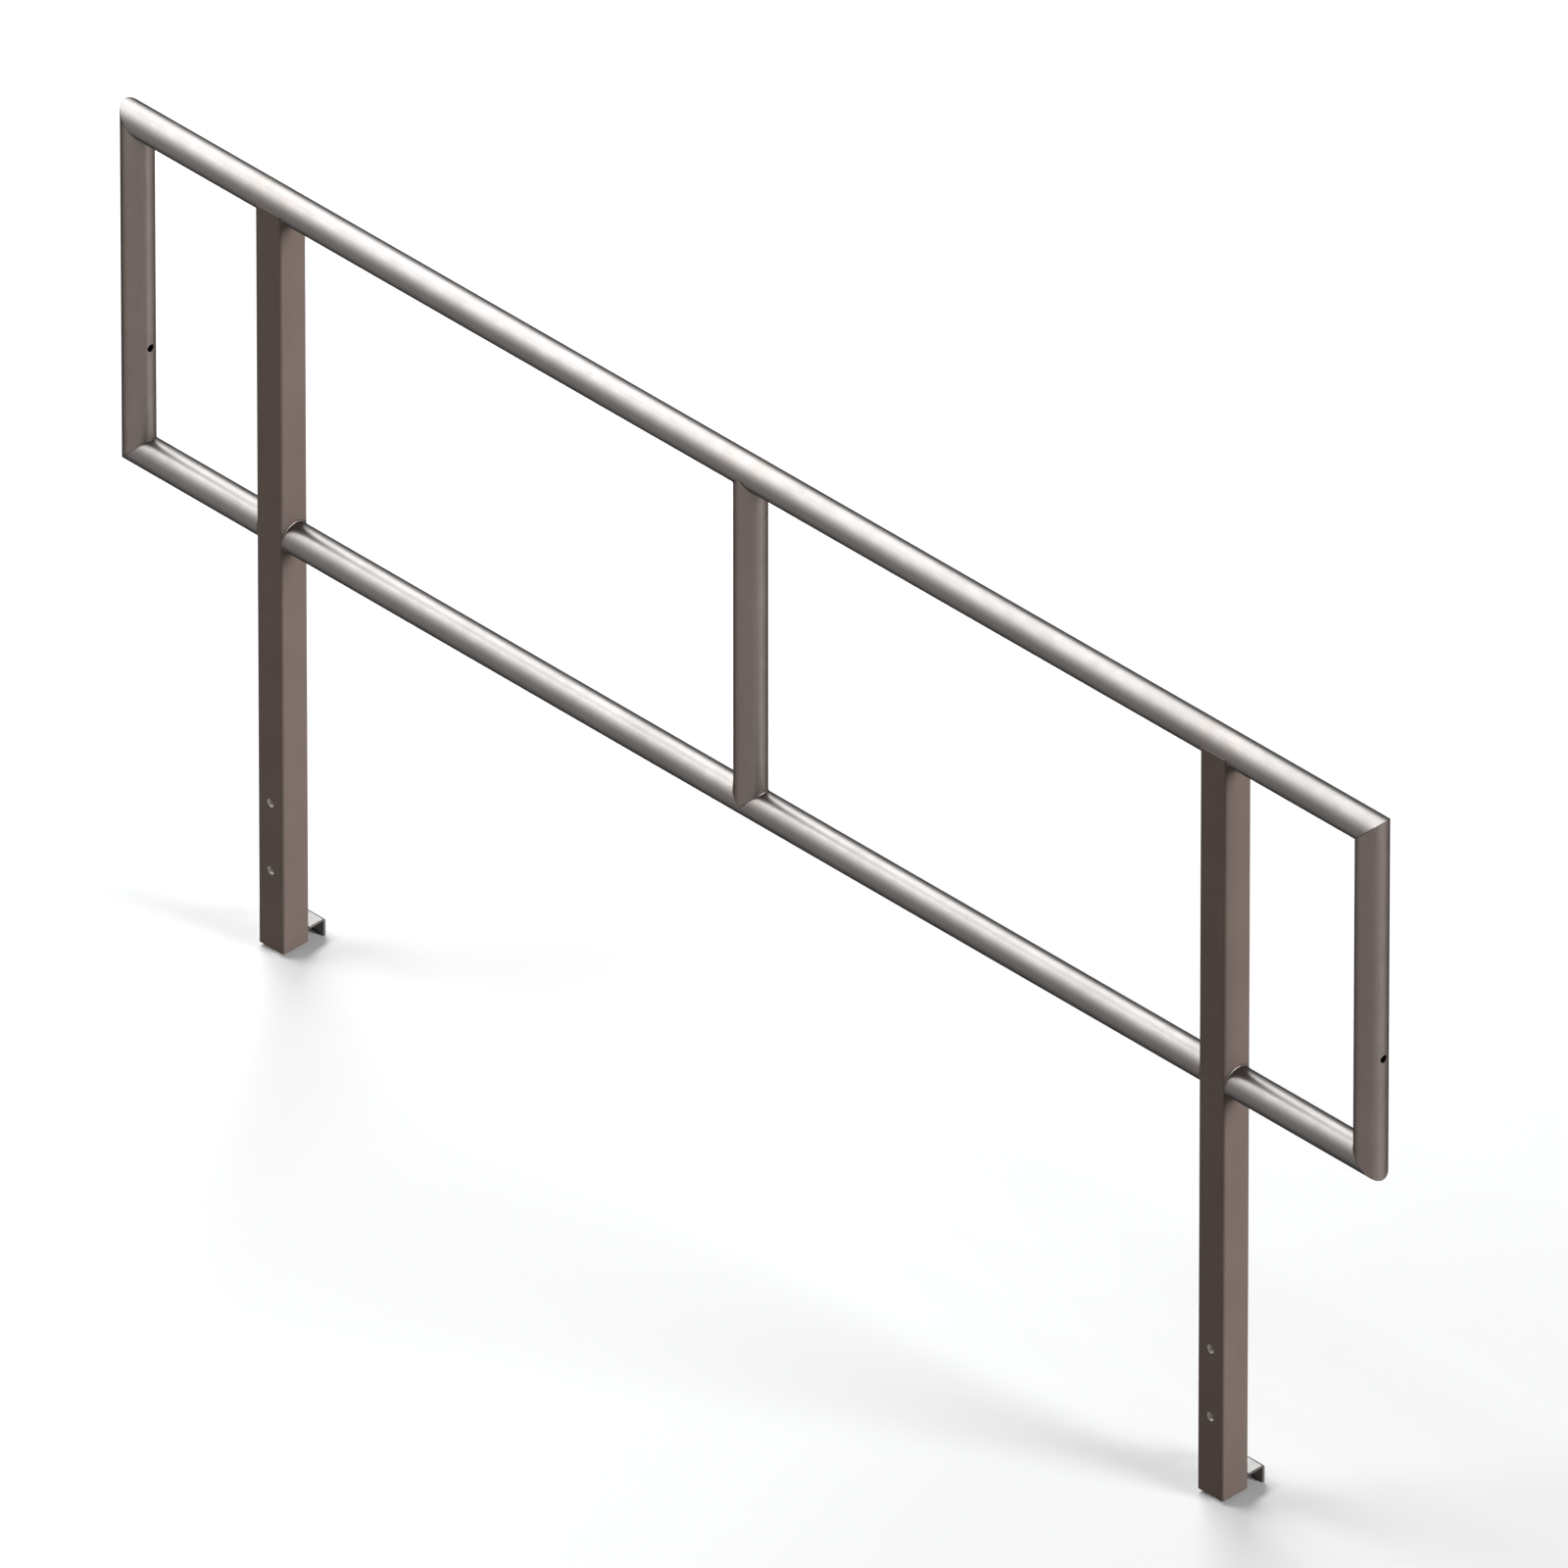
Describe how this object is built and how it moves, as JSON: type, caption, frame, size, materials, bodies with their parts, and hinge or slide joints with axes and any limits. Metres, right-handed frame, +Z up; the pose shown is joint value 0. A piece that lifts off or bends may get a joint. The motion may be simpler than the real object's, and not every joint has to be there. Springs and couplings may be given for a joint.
{
  "type": "guard handrail panel",
  "caption": "Level guard handrail panel of round steel tube on square posts, with a bolted foot and a hook behind each post that drops over a ledge.",
  "frame": {"origin": "on the underside of the left hook's flange, where it meets the back face of the left post, midway across the post", "axes": "+X along the rail from the left post to the right post, +Y from the posts' front towards the structure they are fixed to, +Z up"},
  "size_m": [2.438, 0.0815, 1.276],
  "materials": {
    "tube_steel": "dark satin steel tube with a fine grain along its length",
    "post_steel": "dark satin steel box section with mill grain and light handling wear",
    "hook_steel": "dark satin steel plate, cut and bent"
  },
  "bodies": {
    "root": {"top_rail": "tube_steel", "lower_rail_left": "tube_steel", "lower_rail_centre": "tube_steel", "lower_rail_right": "tube_steel", "left_end_tube": "tube_steel", "right_end_tube": "tube_steel", "mid_upright": "tube_steel", "left_post": "post_steel", "right_post": "post_steel", "left_hook": "hook_steel", "right_hook": "hook_steel"}
  },
  "joints": []
}
